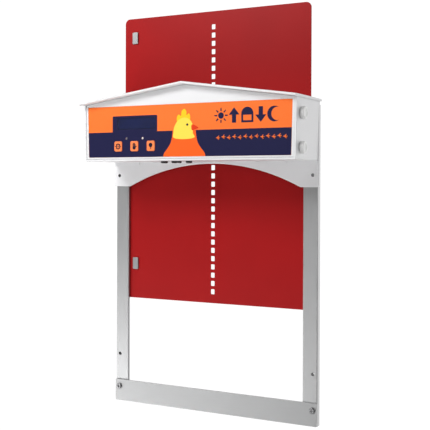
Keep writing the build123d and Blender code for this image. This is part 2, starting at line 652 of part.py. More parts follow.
def bearing_plate():
    """The left bearing plate, a folded steel angle screwed to the base plate."""
    x = LEFT_BEARING_X
    plate = block(x, x + PLATE_SHEET, SHAFT_Y - 8, PLATE_FRONT, SHAFT_Z - 12, SHAFT_Z + 12)
    plate += block(x - BEARING_FOOT, x, PLATE_FRONT - PLATE_SHEET, PLATE_FRONT, SHAFT_Z - 12, SHAFT_Z + 12)
    plate -= rod_x(x - 1, x + PLATE_SHEET + 1, SHAFT_Y, SHAFT_Z, BUSH_R)
    for dz in (-7, 7):
        plate -= rod_y(PLATE_FRONT - 5, PLATE_FRONT + 1, x - BEARING_FOOT / 2, SHAFT_Z + dz, INNER_SCREW_R)
    return plate


def motor_plate():
    """The folded steel plate that carries the gearmotor and the shaft's right bush."""
    x = MOTOR_PLATE_X
    plate = block(x, x + PLATE_SHEET, MOTOR_Y - 15, PLATE_FRONT, SHAFT_Z - 16, SHAFT_Z + 16)
    foot_end = x + PLATE_SHEET + BEARING_FOOT
    plate += block(x, foot_end, PLATE_FRONT - PLATE_SHEET, PLATE_FRONT, SHAFT_Z - 16, SHAFT_Z + 16)
    plate -= rod_x(x - 1, x + PLATE_SHEET + 1, SHAFT_Y, SHAFT_Z, BUSH_R)
    plate -= rod_x(x - 1, x + PLATE_SHEET + 1, MOTOR_Y, SHAFT_Z, GEARBOX_BOSS_R)
    for dz in (-MOTOR_SCREW_OFFSET, MOTOR_SCREW_OFFSET):
        plate -= rod_x(x - 1, x + PLATE_SHEET + 1, MOTOR_Y, SHAFT_Z + dz, MOTOR_SCREW_R)
    for dz in (-11, 11):
        plate -= rod_y(PLATE_FRONT - 5, PLATE_FRONT + 1, foot_end - BEARING_FOOT / 2, SHAFT_Z + dz, INNER_SCREW_R)
    return plate


def shaft_bushes():
    """The two flanged bronze bushes that the cross shaft runs in."""
    bushes = []
    for x, inward in ((LEFT_BEARING_X, 1), (MOTOR_PLATE_X, -1)):
        inner_face = x + PLATE_SHEET if inward > 0 else x
        bush = rod_x(x, x + PLATE_SHEET, SHAFT_Y, SHAFT_Z, BUSH_R)
        bush += rod_x(inner_face, inner_face + inward * BUSH_FLANGE, SHAFT_Y, SHAFT_Z, BUSH_FLANGE_R)
        bush -= rod_x(x - 3, x + PLATE_SHEET + 3, SHAFT_Y, SHAFT_Z, SHAFT_R + RUNNING_CLEARANCE)
        bushes.append(bush)
    return group(bushes)


def retaining_ring():
    """The push-on ring that keeps the cross shaft in the left bush."""
    ring = rod_x(LEFT_BEARING_X - 1.5, LEFT_BEARING_X - 0.3, SHAFT_Y, SHAFT_Z, 4.2)
    return ring - rod_x(LEFT_BEARING_X - 3, LEFT_BEARING_X, SHAFT_Y, SHAFT_Z, SHAFT_R)


def gearbox():
    """The reduction gearbox of the motor."""
    x = MOTOR_PLATE_X + PLATE_SHEET
    body = rod_x(x, x + GEARBOX_LENGTH, MOTOR_Y, SHAFT_Z, GEARBOX_R)
    body += rod_x(MOTOR_PLATE_X, x, MOTOR_Y, SHAFT_Z, GEARBOX_BOSS_R)
    body -= rod_x(MOTOR_PLATE_X - 1, x + 6.5, MOTOR_Y, SHAFT_Z, OUTPUT_SHAFT_R + RUNNING_CLEARANCE)
    for dz in (-MOTOR_SCREW_OFFSET, MOTOR_SCREW_OFFSET):
        body -= rod_x(x - 1, x + 4, MOTOR_Y, SHAFT_Z + dz, MOTOR_SCREW_R)
    return body


def motor():
    """The motor can with its two terminals."""
    x = MOTOR_PLATE_X + PLATE_SHEET + GEARBOX_LENGTH
    can = rod_x(x, x + MOTOR_LENGTH, MOTOR_Y, SHAFT_Z, MOTOR_R)
    can = fillet(can.edges().filter_by(GeomType.CIRCLE).sort_by(Axis.X)[-1], 1.0)
    for dz in (-7, 7):
        can += block(x + MOTOR_LENGTH - 0.2, x + MOTOR_LENGTH + 3.5, MOTOR_Y - 1.4, MOTOR_Y + 1.4,
                     SHAFT_Z + dz - 0.3, SHAFT_Z + dz + 0.3)
    return can


def motor_screws():
    """The two screws that hold the gearbox on the motor plate."""
    screws = []
    for dz in (-MOTOR_SCREW_OFFSET, MOTOR_SCREW_OFFSET):
        head = rod_x(MOTOR_PLATE_X - 1.5, MOTOR_PLATE_X, MOTOR_Y, SHAFT_Z + dz, 2.2)
        screws.append(head + rod_x(MOTOR_PLATE_X, MOTOR_PLATE_X + PLATE_SHEET + 4, MOTOR_Y, SHAFT_Z + dz,
                                   MOTOR_SCREW_R))
    return group(screws)


def inner_screws():
    """The small screws that hold the drive plates, the battery box and the sensor board."""
    screws = []
    for x, z, grip in INNER_SCREWS:
        seat = PLATE_FRONT - grip
        screws.append(rod_y(seat - 1.6, seat, x, z, 2.8) + rod_y(seat, RAIL_FRONT, x, z, INNER_SCREW_R))
    return group(screws)


# ---------------------------------------------------------------- battery box, sensors, sockets


def cell_centres():
    """The z of each cell in the box, bottom to top."""
    low, high = up(BATTERY_HEIGHTS[0]) + BOX_WALL, up(BATTERY_HEIGHTS[1]) - BOX_WALL
    step = (high - low) / CELL_COUNT
    return [low + step * (i + 0.5) for i in range(CELL_COUNT)]


def battery_box():
    """The open battery tray with two screw ears."""
    x0, x1 = BATTERY_X
    z0, z1 = (up(height) for height in BATTERY_HEIGHTS)
    front = PLATE_FRONT - BATTERY_DEPTH
    tray = block(x0, x1, front, PLATE_FRONT, z0, z1)
    tray -= block(x0 + BOX_WALL, x1 - BOX_WALL, front - 1, PLATE_FRONT - BOX_WALL, z0 + BOX_WALL, z1 - BOX_WALL)
    for height in (350.0, 390.0):
        ear = block(x0 - 8, x0 + 0.5, PLATE_FRONT - 2.0, PLATE_FRONT, up(height) - 5, up(height) + 5)
        tray += ear - rod_y(PLATE_FRONT - 3, PLATE_FRONT + 1, x0 - 4, up(height), INNER_SCREW_R)
    return tray


def battery_cells():
    """Four round cells, laid in turn one way and the other."""
    mid = sum(BATTERY_X) / 2
    y = PLATE_FRONT - BOX_WALL - CELL_R - 0.4
    cells = []
    for i, z in enumerate(cell_centres()):
        way = 1 if i % 2 else -1
        can = rod_x(mid - CELL_LENGTH / 2, mid + CELL_LENGTH / 2, y, z, CELL_R)
        end = mid + way * CELL_LENGTH / 2
        cells.append(can + rod_x(end, end + way * 1.0, y, z, 2.6))
    return group(cells)


def battery_contacts():
    """The spring and button contacts at the two ends of the battery box."""
    y = PLATE_FRONT - BOX_WALL - CELL_R - 0.4
    contacts = []
    for x in (BATTERY_X[0] + BOX_WALL, BATTERY_X[1] - BOX_WALL - 0.4):
        for z in cell_centres():
            contacts.append(block(x, x + 0.4, y - 5, y + 5, z - 5, z + 5))
    return group(contacts)


def sensor_board():
    """The small board whose reed contact senses the door's magnets through the base plate."""
    board = block(-127.5, -116.5, PLATE_FRONT - 1.2, PLATE_FRONT, up(357.5), up(392.5))
    for height in (362.0, 388.0):
        board -= rod_y(PLATE_FRONT - 3, PLATE_FRONT + 1, -122.0, up(height), INNER_SCREW_R)
    return board


def reed_contact():
    """The reed contact's glass tube with its wire ends."""
    y = PLATE_FRONT - 1.2 - 1.5
    tube = rod_z(up(368), up(382), -122, y, 1.3)
    return tube + rod_z(up(366.5), up(383.5), -122, y, 0.4)


def socket_body(name):
    """A round fitting in the case's floor: a rounded collar outside and a barrel inside."""
    x, r = SOCKETS[name]
    floor = up(CASE_BOTTOM_HEIGHT)
    collar = rod_z(floor - COLLAR_LENGTH, floor, x, SOCKET_Y, r)
    collar = fillet(collar.edges().filter_by(GeomType.CIRCLE).sort_by(Axis.Z)[0], COLLAR_ROUNDING)
    return collar + rod_z(floor, floor + CASE_WALL + BARREL_LENGTH, x, SOCKET_Y, r - 0.8)


def power_socket():
    """The external power socket, with its bore and centre pin."""
    x, r = SOCKETS["power_socket"]
    floor = up(CASE_BOTTOM_HEIGHT)
    body = socket_body("power_socket")
    body -= rod_z(floor - 4, floor + 7.3, x, SOCKET_Y, POWER_BORE_R)
    return body + rod_z(floor - 1.5, floor + 7.4, x, SOCKET_Y, 1.0)


def socket_nuts():
    """The nuts inside the case that hold the round fittings."""
    floor = up(CASE_BOTTOM_HEIGHT) + CASE_WALL
    nuts = []
    for name in ("power_socket", "light_sensor"):
        x, r = SOCKETS[name]
        nut = extrude(RegularPolygon(r + 1.4, 6), amount=2.5)
        nut = Pos(x, SOCKET_Y, floor) * nut
        nuts.append(nut - rod_z(floor - 1, floor + 4, x, SOCKET_Y, r - 0.8))
    return group(nuts)


# ---------------------------------------------------------------- door


def door_panel():
    """The coated sheet door with its central row of holes for the pinion."""
    half = DOOR_WIDTH / 2
    bottom = up(DOOR_BOTTOM_HEIGHT)
    door = pad(-half, half, DOOR_FRONT_Y, DOOR_BACK_Y, bottom, bottom + DOOR_HEIGHT, DOOR_CORNER_R)
    first = bottom + RACK_FIRST_ABOVE_DOOR_BOTTOM
    for i in range(RACK_HOLES):
        z = first + i * RACK_PITCH
        door -= pad(-RACK_HOLE_WIDTH / 2, RACK_HOLE_WIDTH / 2, DOOR_FRONT_Y - 1, DOOR_BACK_Y + 1,
                    z - RACK_HOLE_HEIGHT / 2, z + RACK_HOLE_HEIGHT / 2, RACK_HOLE_CORNER_R)
    return door


def magnet(name):
    """A flat magnet bonded to the front of the door."""
    x, height = MAGNETS[name]
    z = up(height)
    plate = pad(x - MAGNET_WIDTH / 2, x + MAGNET_WIDTH / 2, DOOR_FRONT_Y - MAGNET_THICKNESS, DOOR_FRONT_Y,
                z - MAGNET_HEIGHT / 2, z + MAGNET_HEIGHT / 2, 1.0)
    return fillet(plate.edges().group_by(Axis.Y)[0], 0.3)


# ---------------------------------------------------------------- all nodes
def all_nodes():
    """Every node of the assembly, by name."""
    nodes = {
        "left_rail": rail(-1),
        "right_rail": rail(1),
        "bottom_bar": bottom_bar(),
        "bottom_bar_screws": bar_screws(),
        "base_plate": base_plate(),
        "rail_screws": rail_screws(),
        "case_shell": case_shell(),
        "case_screws": case_screws(),
        "front_panel": front_panel(),
        "panel_gasket": panel_gasket(),
        "panel_label": panel_label(),
        "display_window": display_window(),
        "lcd_module": lcd_module(),
        "status_leds": status_leds(),
        "control_board": control_board(),
        "board_components": board_components(),
        "board_screws": board_screws(),
        "tact_switches": tact_switches(),
        "threaded_inserts": threaded_inserts(),
        "bearing_plate": bearing_plate(),
        "motor_plate": motor_plate(),
        "shaft_bushes": shaft_bushes(),
        "gearbox": gearbox(),
        "motor": motor(),
        "motor_screws": motor_screws(),
        "inner_screws": inner_screws(),
        "battery_box": battery_box(),
        "battery_cells": battery_cells(),
        "battery_contacts": battery_contacts(),
        "sensor_board": sensor_board(),
        "reed_contact": reed_contact(),
        "power_socket": power_socket(),
        "sensor_socket": socket_body("sensor_socket"),
        "status_lens": socket_body("status_lens"),
        "light_sensor": socket_body("light_sensor"),
        "socket_nuts": socket_nuts(),
        "drive_shaft": drive_shaft(),
        "retaining_ring": retaining_ring(),
        "door_pinion": door_pinion(),
        "drive_gear": drive_gear(),
        "output_shaft": output_shaft(),
        "motor_gear": motor_gear(),
        "door_panel": door_panel(),
    }
    for name in MAGNETS:
        nodes[name] = magnet(name)
    for name, x in BUTTON_XS.items():
        nodes[name] = button(x)
    for side, side_name in ((-1, "left"), (1, "right")):
        for level, height in THUMB_HEIGHTS.items():
            nodes[f"thumb_screw_{side_name}_{level}"] = thumb_screw(side, height)
    return nodes


os.makedirs("parts", exist_ok=True)
for node_name, shape in all_nodes().items():
    export_step(shape, f"parts/{node_name}.step")
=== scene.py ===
"""Looks of the automatic coop door: finishes, printed label, key symbols, grips, lenses and stage."""
import json
import math

import bmesh
import bpy
from mathutils import Matrix, Vector


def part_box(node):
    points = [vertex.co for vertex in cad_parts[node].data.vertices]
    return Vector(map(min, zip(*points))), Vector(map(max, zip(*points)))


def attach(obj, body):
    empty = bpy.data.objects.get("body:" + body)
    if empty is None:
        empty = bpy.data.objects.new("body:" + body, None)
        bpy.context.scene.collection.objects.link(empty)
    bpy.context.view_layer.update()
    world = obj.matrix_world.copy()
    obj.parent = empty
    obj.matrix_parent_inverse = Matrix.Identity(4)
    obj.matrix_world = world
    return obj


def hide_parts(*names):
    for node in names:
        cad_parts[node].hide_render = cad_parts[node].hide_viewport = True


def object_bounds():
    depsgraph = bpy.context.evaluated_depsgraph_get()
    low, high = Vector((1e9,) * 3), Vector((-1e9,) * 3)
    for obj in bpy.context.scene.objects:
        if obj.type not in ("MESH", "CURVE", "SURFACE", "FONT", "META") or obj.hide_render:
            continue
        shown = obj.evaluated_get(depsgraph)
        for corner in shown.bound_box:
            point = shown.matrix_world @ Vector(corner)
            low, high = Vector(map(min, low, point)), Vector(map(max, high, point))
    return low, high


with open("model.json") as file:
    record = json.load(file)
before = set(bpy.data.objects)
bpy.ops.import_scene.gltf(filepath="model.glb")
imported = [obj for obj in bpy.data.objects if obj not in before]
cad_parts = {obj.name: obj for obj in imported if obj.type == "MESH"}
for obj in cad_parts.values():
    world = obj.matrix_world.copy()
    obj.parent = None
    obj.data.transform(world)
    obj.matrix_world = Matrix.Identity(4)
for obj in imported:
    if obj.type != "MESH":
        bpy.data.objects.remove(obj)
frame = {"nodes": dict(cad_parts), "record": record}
CAD_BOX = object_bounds()

MM = 0.001

# ------------------------------------------------------------ colours, linear
WHITE_ABS = (0.80, 0.80, 0.81, 1)
THUMB_WHITE = (0.92, 0.92, 0.91, 1)
ALUMINIUM = (0.45, 0.452, 0.455, 1)
DOOR_RED = (0.345, 0.006, 0.007, 1)
ORANGE = (1.0, 0.19, 0.034, 1)
KEY_ORANGE = (1.0, 0.24, 0.065, 1)
BREAST_ORANGE = (0.95, 0.130, 0.016, 1)
NAVY = (0.013, 0.013, 0.056, 1)
ICON_NAVY = (0.012, 0.012, 0.030, 1)
YELLOW = (1.0, 0.74, 0.09, 1)
TUFT_YELLOW = (1.0, 0.60, 0.02, 1)
BEAK_ORANGE = (0.75, 0.05, 0.01, 1)
WINDOW_NAVY = (0.010, 0.011, 0.050, 1)
LCD_BLUE = (0.015, 0.040, 0.21, 1)
WINDOW_TINT = (0.16, 0.20, 0.45, 1)
BLACK_PLASTIC = (0.018, 0.018, 0.019, 1)
FOAM_BLACK = (0.02, 0.02, 0.02, 1)
DARK_LENS = (0.02, 0.02, 0.022, 1)
CLEAR_LENS = (0.62, 0.62, 0.60, 1)
SMOKY_LENS = (0.17, 0.17, 0.18, 1)
MILKY_LENS = (0.72, 0.70, 0.66, 1)
REED_GLASS = (0.5, 0.6, 0.55, 1)
NATURAL_NYLON = (0.74, 0.70, 0.60, 1)
CELL_GREEN = (0.03, 0.12, 0.05, 1)
BOARD_GREEN = (0.01, 0.10, 0.03, 1)
BOARD_GREEN_BARE = (0.008, 0.08, 0.025, 1)
BOARD_GREEN_TRACK = (0.02, 0.16, 0.05, 1)
ZINC_SCREW = (0.60, 0.60, 0.61, 1)
BAR_SCREW_STEEL = (0.27, 0.27, 0.275, 1)
ZINC_SHEET = (0.62, 0.62, 0.61, 1)
DIE_CAST_ZINC = (0.35, 0.36, 0.37, 1)
BRONZE = (0.52, 0.33, 0.14, 1)
BRASS = (0.70, 0.52, 0.22, 1)
NICKEL = (0.36, 0.365, 0.37, 1)
FLOOR_PALE = (0.93, 0.93, 0.93, 1)
PAPER_WHITE = (1, 1, 1, 1)
HOLE_PAINTED_SHADE = 0.15            # how dark the walls of the wall-screw holes are painted against the surface around them: painted shade in place of the shade that falls inside the holes


# ------------------------------------------------------------ shader helpers
class Shader:
    """A node material under construction, read in the row frame's metres."""

    def __init__(self, name, color, roughness, metallic=0.0):
        self.material = bpy.data.materials.new(name)
        self.material.use_nodes = True
        self.nodes = self.material.node_tree.nodes
        self.links = self.material.node_tree.links
        self.surface = self.nodes["Principled BSDF"]
        self.surface.inputs["Base Color"].default_value = color
        self.surface.inputs["Roughness"].default_value = roughness
        self.surface.inputs["Metallic"].default_value = metallic
        self.place = self.nodes.new("ShaderNodeTexCoord").outputs["Object"]

    def set(self, **values):
        """Set sockets of the surface, with underscores for the spaces in their names."""
        for key, value in values.items():
            self.surface.inputs[key.replace("_", " ")].default_value = value

    def noise(self, size_mm, detail=2.0, stretch=(1, 1, 1)):
        """A noise whose grain is about size_mm, stretched along the axes given."""
        mapping = self.nodes.new("ShaderNodeMapping")
        mapping.inputs["Scale"].default_value = [1 / factor for factor in stretch]
        noise = self.nodes.new("ShaderNodeTexNoise")
        noise.inputs["Scale"].default_value = 1 / (size_mm * MM)
        noise.inputs["Detail"].default_value = detail
        self.links.new(self.place, mapping.inputs["Vector"])
        self.links.new(mapping.outputs["Vector"], noise.inputs["Vector"])
        return noise.outputs["Fac"]

    def remap(self, value, low, high):
        """Spread the middle of a noise, where nearly all of it lies, over low to high."""
        node = self.nodes.new("ShaderNodeMapRange")
        node.inputs["From Min"].default_value = 0.3
        node.inputs["From Max"].default_value = 0.7
        node.inputs["To Min"].default_value = low
        node.inputs["To Max"].default_value = high
        self.links.new(value, node.inputs["Value"])
        return node.outputs["Result"]

    def mix(self, factor, first, second):
        """Mix two colours by a factor socket."""
        node = self.nodes.new("ShaderNodeMix")
        node.data_type = "RGBA"
        self.links.new(factor, node.inputs["Factor"])
        for socket, value in zip((node.inputs[6], node.inputs[7]), (first, second)):
            if isinstance(value, tuple):
                socket.default_value = value
            else:
                self.links.new(value, socket)
        return node.outputs[2]

    def color(self, socket):
        """Colour the surface by a socket."""
        self.links.new(socket, self.surface.inputs["Base Color"])

    def roughness(self, socket):
        """Set the surface's roughness by a socket."""
        self.links.new(socket, self.surface.inputs["Roughness"])

    def bump(self, socket, height_mm, strength=1.0):
        """Raise the surface by a height socket; several bumps stack."""
        node = self.nodes.new("ShaderNodeBump")
        node.inputs["Distance"].default_value = height_mm * MM
        node.inputs["Strength"].default_value = strength
        self.links.new(socket, node.inputs["Height"])
        before = self.surface.inputs["Normal"].links
        if before:
            self.links.new(before[0].from_socket, node.inputs["Normal"])
        self.links.new(node.outputs["Normal"], self.surface.inputs["Normal"])


def shade(color, factor):
    """A colour made darker or lighter."""
    return tuple(min(1.0, channel * factor) for channel in color[:3]) + (1,)


def hole_pattern():
    """The wall-screw holes' half spacings along X and Z and their radius, from the record."""
    mounts = {mount["name"]: mount for mount in frame["record"]["mounts"]}
    dims = mounts["wall_screw_holes"]["dims"]
    return dims["spacing_x_mm"] / 2 * MM, dims["spacing_y_mm"] / 2 * MM, dims["hole_r_mm"] * MM


HOLE_X, HOLE_Z, HOLE_R = hole_pattern()


def painted_hole_shade_mask(shader):
    """A mask of the walls of the four wall-screw holes, which are symmetric about the row's origin, where
    shade inside the holes is painted darker.
    """
    nodes, links = shader.nodes, shader.links
    folded = nodes.new("ShaderNodeVectorMath")
    folded.operation = "ABSOLUTE"
    offset = nodes.new("ShaderNodeVectorMath")
    offset.operation = "SUBTRACT"
    offset.inputs[1].default_value = (HOLE_X, 0, HOLE_Z)
    across = nodes.new("ShaderNodeVectorMath")
    across.operation = "MULTIPLY"
    across.inputs[1].default_value = (1, 0, 1)
    distance = nodes.new("ShaderNodeVectorMath")
    distance.operation = "LENGTH"
    mask = nodes.new("ShaderNodeMapRange")
    mask.inputs["From Min"].default_value = HOLE_R + 0.05 * MM
    mask.inputs["From Max"].default_value = HOLE_R + 0.15 * MM
    mask.inputs["To Min"].default_value = 1.0
    mask.inputs["To Max"].default_value = 0.0
    links.new(shader.place, folded.inputs[0])
    links.new(folded.outputs["Vector"], offset.inputs[0])
    links.new(offset.outputs["Vector"], across.inputs[0])
    links.new(across.outputs["Vector"], distance.inputs[0])
    links.new(distance.outputs["Value"], mask.inputs["Value"])
    return mask.outputs["Result"]


def brushed(name, color, along, roughness):
    """Satin metal with fine drawing lines along one axis."""
    shader = Shader(name, color, roughness, metallic=1.0)
    stretch = [1.0, 1.0, 1.0]
    stretch["XYZ".index(along)] = 60.0
    lines = shader.noise(0.5, 3.0, stretch)
    clouds = shader.noise(60.0, 3.0)
    streaks = shader.mix(shader.remap(lines, 0.0, 1.0), shade(color, 0.92), shade(color, 1.05))
    tone = shader.mix(shader.remap(clouds, 0.0, 0.5), streaks, shade(color, 0.95))
    # painted shade: the walls of the wall-screw holes are darkened in place of the shade that falls inside
    # them
    shader.color(shader.mix(painted_hole_shade_mask(shader), tone, shade(color, HOLE_PAINTED_SHADE)))
    shader.roughness(shader.remap(lines, roughness - 0.05, roughness + 0.07))
    shader.bump(lines, 0.02, 0.35)
    return shader.material


def moulded(name, color, roughness, grain):
    """Moulded plastic: a fine spark-eroded grain and a faint flow of tone."""
    shader = Shader(name, color, roughness)
    shader.set(Specular_IOR_Level=0.5)
    fine = shader.noise(0.45, 2.0)
    flow = shader.noise(45.0, 2.0)
    tone = shader.mix(shader.remap(flow, 0.0, 1.0), shade(color, 0.985), shade(color, 1.01))
    # painted shade: the walls of the wall-screw holes are darkened in place of the shade that falls inside
    # them
    shader.color(shader.mix(painted_hole_shade_mask(shader), tone, shade(color, HOLE_PAINTED_SHADE)))
    shader.roughness(shader.remap(fine, roughness - 0.04, roughness + 0.06))
    shader.bump(fine, 0.02, grain)
    return shader.material


def printed(name, color, roughness=0.30):
    """Print under a thin clear film, with a very fine velvet grain."""
    shader = Shader(name, color, roughness)
    shader.set(Specular_IOR_Level=0.25)
    grain = shader.noise(0.3, 2.0)
    ink = shader.noise(30.0, 3.0)
    shader.color(shader.mix(shader.remap(ink, 0.0, 1.0), shade(color, 0.97), shade(color, 1.02)))
    shader.roughness(shader.remap(grain, roughness - 0.04, roughness + 0.05))
    shader.bump(grain, 0.01, 0.3)
    return shader.material


def powder_coat():
    """The door's red coat: slight orange peel over flat sheet."""
    shader = Shader("red_powder_coat", DOOR_RED, 0.36)
    shader.set(Specular_IOR_Level=0.13)
    peel = shader.noise(1.6, 2.0)
    pores = shader.noise(0.35, 2.0)
    clouds = shader.noise(90.0, 3.0)
    shader.color(shader.mix(shader.remap(clouds, 0.0, 1.0), shade(DOOR_RED, 0.94), shade(DOOR_RED, 1.05)))
    shader.roughness(shader.remap(pores, 0.33, 0.42))
    shader.bump(peel, 0.03, 0.5)
    shader.bump(pores, 0.008, 0.4)
    return shader.material


def cast_metal(name, color, roughness):
    """Turned, plated or cast metal with a mottled finish."""
    shader = Shader(name, color, roughness, metallic=1.0)
    mottle = shader.noise(1.2, 4.0)
    shader.color(shader.mix(shader.remap(mottle, 0.0, 1.0), shade(color, 0.9), shade(color, 1.06)))
    shader.roughness(shader.remap(mottle, roughness - 0.08, roughness + 0.08))
    shader.bump(mottle, 0.02, 0.4)
    return shader.material


def glossy(name, color, roughness=0.12):
    """Hard, smooth lens or enamel."""
    shader = Shader(name, color, roughness)
    shader.set(Coat_Weight=0.6, Coat_Roughness=0.05)
    smear = shader.noise(8.0, 3.0)
    shader.roughness(shader.remap(smear, roughness - 0.03, roughness + 0.05))
    return shader.material


def tinted_window():
    """The display's clear window, tinted blue."""
    shader = Shader("tinted_window", WINDOW_TINT, 0.08)
    shader.set(Transmission_Weight=0.92, IOR=1.4)
    smear = shader.noise(12.0, 3.0)
    shader.roughness(shader.remap(smear, 0.05, 0.12))
    return shader.material


def lcd_glass():
    """The unlit display: deep blue with a faint cloudy film."""
    shader = Shader("lcd_blue", LCD_BLUE, 0.18)
    shader.set(Specular_IOR_Level=0.3)
    cloud = shader.noise(14.0, 2.0, (2.0, 1.0, 1.0))
    weave = shader.noise(0.4, 1.0)
    shader.color(shader.mix(shader.remap(cloud, 0.0, 1.0), shade(LCD_BLUE, 0.75), shade(LCD_BLUE, 1.5)))
    shader.roughness(shader.remap(weave, 0.16, 0.22))
    return shader.material


def circuit_green():
    """Solder mask with a hint of copper tracks under it."""
    shader = Shader("circuit_green", BOARD_GREEN, 0.3)
    tracks = shader.noise(2.5, 1.0, (1.0, 1.0, 4.0))
    shader.color(shader.mix(shader.remap(tracks, 0.0, 1.0), BOARD_GREEN_BARE, BOARD_GREEN_TRACK))
    shader.bump(tracks, 0.03, 0.5)
    return shader.material


def foam():
    """Closed-cell sealing foam."""
    shader = Shader("seal_foam", FOAM_BLACK, 0.85)
    cells = shader.noise(0.6, 4.0)
    shader.bump(cells, 0.1, 0.8)
    shader.roughness(shader.remap(cells, 0.75, 0.95))
    return shader.material


# ------------------------------------------------------------ mesh helpers
SHARP_FROM = math.radians(35)


def new_object(name, mesh, material, body):
    """Link a finished mesh, ride it on its body and give it its material."""
    obj = bpy.data.objects.new(name, mesh)
    bpy.context.scene.collection.objects.link(obj)
    mesh.materials.clear()
    mesh.materials.append(material)
    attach(obj, body)
    return obj


def arc(cx, cz, radius, start, end, steps=12):
    """Points on a circle, by angles in degrees."""
    angles = [math.radians(start + (end - start) * i / steps) for i in range(steps + 1)]
    return [(cx + radius * math.cos(a), cz + radius * math.sin(a)) for a in angles]


def circle(cx, cz, radius, steps=40):
    """A closed circle."""
    return arc(cx, cz, radius, 0, 360 * (steps - 1) / steps, steps - 1)


def rounded_rect(x0, x1, z0, z1, radius):
    """A rectangle with round corners, from the lower right corner round."""
    corners = ((x1 - radius, z0 + radius, -90), (x1 - radius, z1 - radius, 0),
               (x0 + radius, z1 - radius, 90), (x0 + radius, z0 + radius, 180))
    outline = []
    for cx, cz, start in corners:
        outline += arc(cx, cz, radius, start, start + 90, 6)
    return outline


def smooth(points, steps=8, closed=False):
    """A smooth curve through a few points."""
    count = len(points)
    spans = count if closed else count - 1
    curve = []
    for i in range(spans):
        if closed:
            a, b, c, d = (Vector(points[(i + k) % count]) for k in (-1, 0, 1, 2))
        else:
            a, b, c, d = (Vector(points[min(max(i + k, 0), count - 1)]) for k in (-1, 0, 1, 2))
        for step in range(steps):
            t = step / steps
            point = 0.5 * (2 * b + (c - a) * t + (2 * a - 5 * b + 4 * c - d) * t ** 2
                           + (3 * b - a - 3 * c + d) * t ** 3)
            curve.append((point.x, point.y))
    if not closed:
        curve.append(tuple(points[-1]))
    return curve


def move(points, dx, dz):
    """An outline moved by dx and dz."""
    return [(x + dx, z + dz) for x, z in points]


def enlarge(loops, size):
    """Outlines drawn at unit size, enlarged about their origin."""
    return [[(x * size, z * size) for x, z in loop] for loop in loops]


def flat_plate(name, loops, front, thickness, material, body):
    """A thin plate facing -Y. Its loops are outlines of (x, z) in metres; an inner loop is a hole."""
    curve = bpy.data.curves.new(name, "CURVE")
    curve.dimensions = "2D"
    curve.fill_mode = "BOTH"
    curve.extrude = thickness / 2
    for loop in loops:
        spline = curve.splines.new("POLY")
        spline.points.add(len(loop) - 1)
        for point, (x, z) in zip(spline.points, loop):
            point.co = (x, z, 0, 1)
        spline.use_cyclic_u = True
    holder = bpy.data.objects.new(name + "_outline", curve)
    bpy.context.scene.collection.objects.link(holder)
    bpy.context.view_layer.update()
    evaluated = holder.evaluated_get(bpy.context.evaluated_depsgraph_get())
    mesh = bpy.data.meshes.new_from_object(evaluated)
    bpy.data.objects.remove(holder)
    upright = Matrix.Rotation(math.radians(90), 4, "X")
    mesh.transform(Matrix.Translation((0, front + thickness / 2, 0)) @ upright)
    mesh.name = name
    return new_object(name, mesh, material, body)


def lathe(name, profile, segments, material, body, turn, ripple=None):
    """Revolve (height, radius) points about local Z, then place by the turn matrix.

    ripple(height, angle) gives a factor on the radius, for flutes.
    """
    bm = bmesh.new()
    rings = []
    for height, radius in profile:
        ring = []
        for i in range(segments):
            angle = 2 * math.pi * i / segments
            r = radius * (ripple(height, angle) if ripple else 1.0)
            ring.append(bm.verts.new((r * math.cos(angle), r * math.sin(angle), height)))
        rings.append(ring)
    for low, high in zip(rings, rings[1:]):
        for i in range(segments):
            j = (i + 1) % segments
            bm.faces.new((low[i], low[j], high[j], high[i]))
    bm.faces.new(list(reversed(rings[0])))
    bm.faces.new(rings[-1])
    bm.transform(turn)
    bm.normal_update()
    mesh = bpy.data.meshes.new(name)
    bm.to_mesh(mesh)
    bm.free()
    for face in mesh.polygons:
        face.use_smooth = True
    mesh.set_sharp_from_angle(angle=SHARP_FROM)
    return new_object(name, mesh, material, body)


# ------------------------------------------------------------ materials of the CAD nodes
MATERIALS = {
    "white_abs": moulded("white_abs", WHITE_ABS, 0.36, 0.45),
    "thumb_plastic": moulded("thumb_white", THUMB_WHITE, 0.45, 0.3),
    "red_coating": powder_coat(),
    "label_print": printed("label_orange", ORANGE),
    "key_plastic": moulded("key_orange", KEY_ORANGE, 0.42, 0.3),
    "window_tint": tinted_window(),
    "lcd_glass": lcd_glass(),
    "led_lens": glossy("led_clear", CLEAR_LENS, 0.2),
    "screw_steel": cast_metal("zinc_screw", ZINC_SCREW, 0.34),
    "plated_steel": brushed("zinc_sheet", ZINC_SHEET, "Z", 0.4),
    "gearbox_zinc": cast_metal("die_cast", DIE_CAST_ZINC, 0.5),
    "bronze": cast_metal("sintered_bronze", BRONZE, 0.5),
    "insert_brass": cast_metal("turned_brass", BRASS, 0.3),
    "gear_nylon": moulded("natural_nylon", NATURAL_NYLON, 0.45, 0.3),
    "circuit_board": circuit_green(),
    "black_plastic": moulded("black_plastic", BLACK_PLASTIC, 0.35, 0.4),
    "dark_lens": glossy("dark_lens", DARK_LENS),
    "cell_wrap": glossy("cell_wrap", CELL_GREEN, 0.25),
    "reed_glass": glossy("reed_glass", REED_GLASS, 0.1),
    "seal_foam": foam(),
    "magnet_nickel": cast_metal("nickel", NICKEL, 0.42),
}
RAIL_METAL = brushed("rail_aluminium", ALUMINIUM, "Z", 0.42)
BAR_METAL = brushed("bar_aluminium", shade(ALUMINIUM, 0.90), "X", 0.5)
BAR_SCREW_METAL = cast_metal("bar_screw_steel", BAR_SCREW_STEEL, 0.36)
NODE_METAL = {"left_rail": RAIL_METAL, "right_rail": RAIL_METAL, "bottom_bar": BAR_METAL,
              "bottom_bar_screws": BAR_SCREW_METAL}


